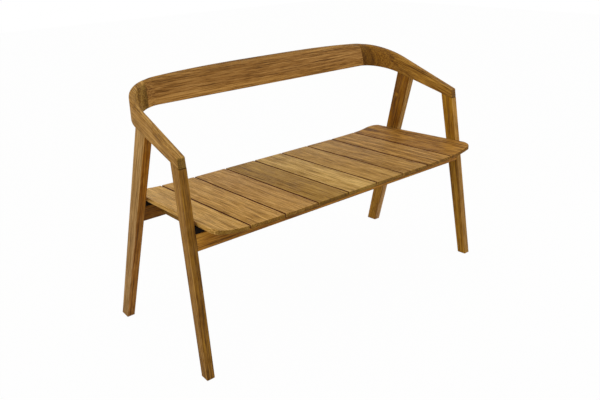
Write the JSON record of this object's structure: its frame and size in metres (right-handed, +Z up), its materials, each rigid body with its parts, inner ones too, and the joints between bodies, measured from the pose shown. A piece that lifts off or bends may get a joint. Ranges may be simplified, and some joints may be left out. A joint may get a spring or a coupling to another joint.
{
  "type": "garden bench",
  "caption": "Teak garden bench with splayed legs, a slatted seat with raised rounded ends, and a curved band that forms both arms and the back.",
  "frame": {"origin": "on the ground, at the middle of the bench's footprint", "axes": "+Z up; +X along the bench, to the right as seen from the front; the front faces -Y"},
  "size_m": [1.2994, 0.5666, 0.8415],
  "materials": {
    "teak": "oiled, fine grain",
    "beech": "plain, inside the joints",
    "rubber": "matt black",
    "screw_steel": "plain"
  },
  "bodies": {
    "root": {"seat_pad_front_left": "rubber", "seat_pad_front_right": "rubber", "seat_pad_rear_left": "rubber", "seat_pad_rear_right": "rubber", "leg_front_left": "teak", "leg_front_right": "teak", "leg_rear_left": "teak", "leg_rear_right": "teak", "arm_left": "teak", "arm_right": "teak", "back_rail": "teak", "apron_front": "teak", "apron_rear": "teak", "cross_rail_left": "teak", "cross_rail_right": "teak", "seat_slat_1": "teak", "seat_slat_2": "teak", "seat_slat_3": "teak", "seat_slat_4": "teak", "seat_slat_5": "teak", "seat_slat_6": "teak", "seat_slat_7": "teak", "seat_slat_8": "teak", "seat_slat_9": "teak", "arm_dowel_front_left": "beech", "arm_dowel_front_right": "beech", "arm_dowel_rear_left_1": "beech", "arm_dowel_rear_left_2": "beech", "arm_dowel_rear_right_1": "beech", "arm_dowel_rear_right_2": "beech", "back_tenon_left": "beech", "back_tenon_right": "beech", "slat_screw_front_1": "screw_steel", "slat_screw_front_2": "screw_steel", "slat_screw_front_3": "screw_steel", "slat_screw_front_4": "screw_steel", "slat_screw_front_5": "screw_steel", "slat_screw_front_6": "screw_steel", "slat_screw_front_7": "screw_steel", "slat_screw_front_8": "screw_steel", "slat_screw_front_9": "screw_steel", "slat_screw_rear_1": "screw_steel", "slat_screw_rear_2": "screw_steel", "slat_screw_rear_3": "screw_steel", "slat_screw_rear_4": "screw_steel", "slat_screw_rear_5": "screw_steel", "slat_screw_rear_6": "screw_steel", "slat_screw_rear_7": "screw_steel", "slat_screw_rear_8": "screw_steel", "slat_screw_rear_9": "screw_steel"}
  },
  "joints": []
}
